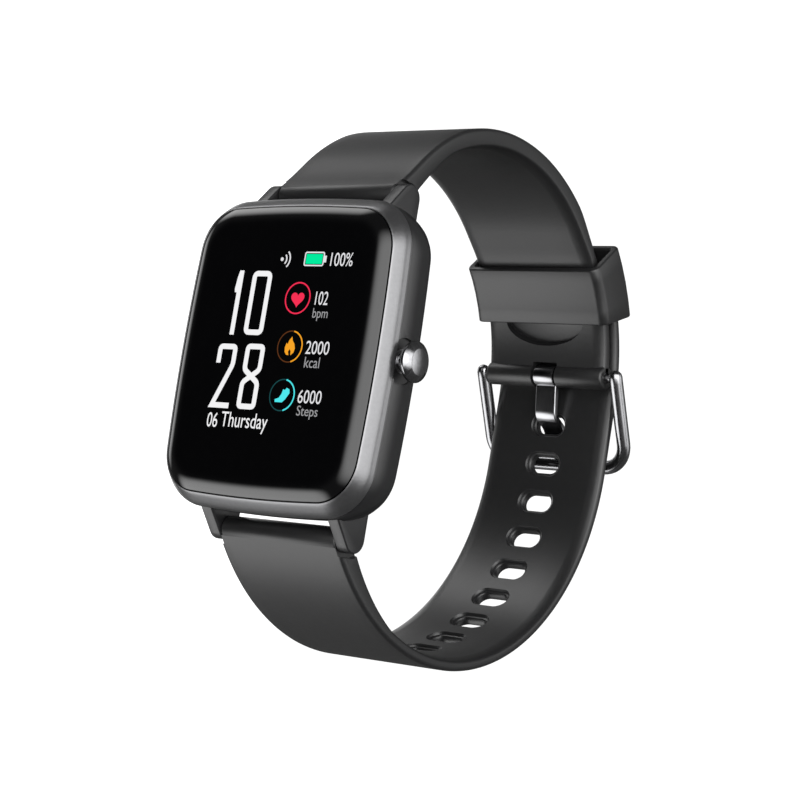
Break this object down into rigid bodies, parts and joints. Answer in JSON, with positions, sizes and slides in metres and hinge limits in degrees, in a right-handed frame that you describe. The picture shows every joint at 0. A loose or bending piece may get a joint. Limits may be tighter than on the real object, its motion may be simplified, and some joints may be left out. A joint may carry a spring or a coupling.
{
  "type": "smartwatch",
  "caption": "Square fitness watch with domed glass, rounded metal bezel, side button and a silicone strap closed by a buckle and keeper.",
  "frame": {"origin": "centre of the sensor window's face, which rests on the wrist", "axes": "+Z leaves the display, +Y points to 12 o'clock, +X to the side button"},
  "size_m": [0.0364, 0.0717, 0.0678],
  "materials": {
    "case_polymer": "matte dark",
    "bezel_metal": "satin graphite",
    "cover_glass": "gloss black domed glass",
    "adhesive": "matte",
    "display": "gloss",
    "flex": "gloss amber",
    "inner_polymer": "matte",
    "circuit_board": "gloss solder mask",
    "chips": "matte",
    "bright_metal": "satin",
    "battery_foil": "satin foil",
    "tape": "matte",
    "antenna": "satin",
    "led": "gloss",
    "window": "gloss dark",
    "contact_metal": "gloss gold",
    "seal_rubber": "matte",
    "button_metal": "brushed face, polished bevel",
    "strap_silicone": "satin dark grey",
    "buckle_metal": "polished gunmetal"
  },
  "bodies": {
    "root": {"case_body": "case_polymer", "bezel_ring": "bezel_metal", "cover_glass": "cover_glass", "glass_adhesive": "adhesive", "display_panel": "display", "display_flex": "flex", "inner_frame": "inner_polymer", "mainboard": "circuit_board", "board_chips": "chips", "shield_can": "bright_metal", "battery": "battery_foil", "battery_tape": "tape", "vibration_motor": "bright_metal", "antenna_strip": "antenna", "sensor_board": "circuit_board", "sensor_leds": "led", "sensor_window": "window", "charging_contacts": "contact_metal", "back_cover": "case_polymer", "back_gasket": "seal_rubber", "case_screws": "bright_metal", "button_bushing": "bright_metal", "switch_body": "chips", "buckle_strap": "strap_silicone", "hole_strap": "strap_silicone", "upper_bar_tube": "bright_metal", "upper_bar_spring": "bright_metal", "lower_bar_tube": "bright_metal", "lower_bar_spring": "bright_metal", "buckle_bar_tube": "bright_metal", "buckle_bar_tips": "bright_metal"},
    "button": {"side_button": "button_metal", "button_seal": "seal_rubber", "button_clip": "bright_metal"},
    "plunger": {"switch_plunger": "inner_polymer"},
    "keeper": {"keeper_loop": "strap_silicone"},
    "upper_pin": {"upper_bar_pin": "bright_metal"},
    "lower_pin": {"lower_bar_pin": "bright_metal"},
    "frame": {"buckle_frame": "buckle_metal"},
    "tongue": {"buckle_tongue": "buckle_metal"}
  },
  "joints": [
    {"name": "button_press", "type": "slide", "parent": "root", "child": "button", "axis": [-1, 0, 0], "range_m": [0, 0.0004], "stiffness_N_per_m": 5000},
    {"name": "plunger_slide", "type": "slide", "parent": "root", "child": "plunger", "axis": [-1, 0, 0], "range_m": [0, 0.00041]},
    {"name": "keeper_slide", "type": "hinge", "parent": "root", "child": "keeper", "pos_m": [0, 0.0064, -0.02378], "axis": [1, 0, 0], "range_deg": [-9.5, 5]},
    {"name": "upper_pin_slide", "type": "slide", "parent": "root", "child": "upper_pin", "axis": [-1, 0, 0], "range_m": [0, 0.0013], "stiffness_N_per_m": 800},
    {"name": "lower_pin_slide", "type": "slide", "parent": "root", "child": "lower_pin", "axis": [-1, 0, 0], "range_m": [0, 0.0013], "stiffness_N_per_m": 800},
    {"name": "frame_swing", "type": "hinge", "parent": "root", "child": "frame", "pos_m": [0, 0.00955, -0.04968], "axis": [1, 0, 0], "range_deg": [-4, 95]},
    {"name": "tongue_swing", "type": "hinge", "parent": "root", "child": "tongue", "pos_m": [0, 0.00955, -0.04968], "axis": [1, 0, 0], "range_deg": [0, 2]}
  ],
  "couplings": [
    {"joint": "plunger_slide", "follows": "button_press", "ratio": 1}
  ]
}
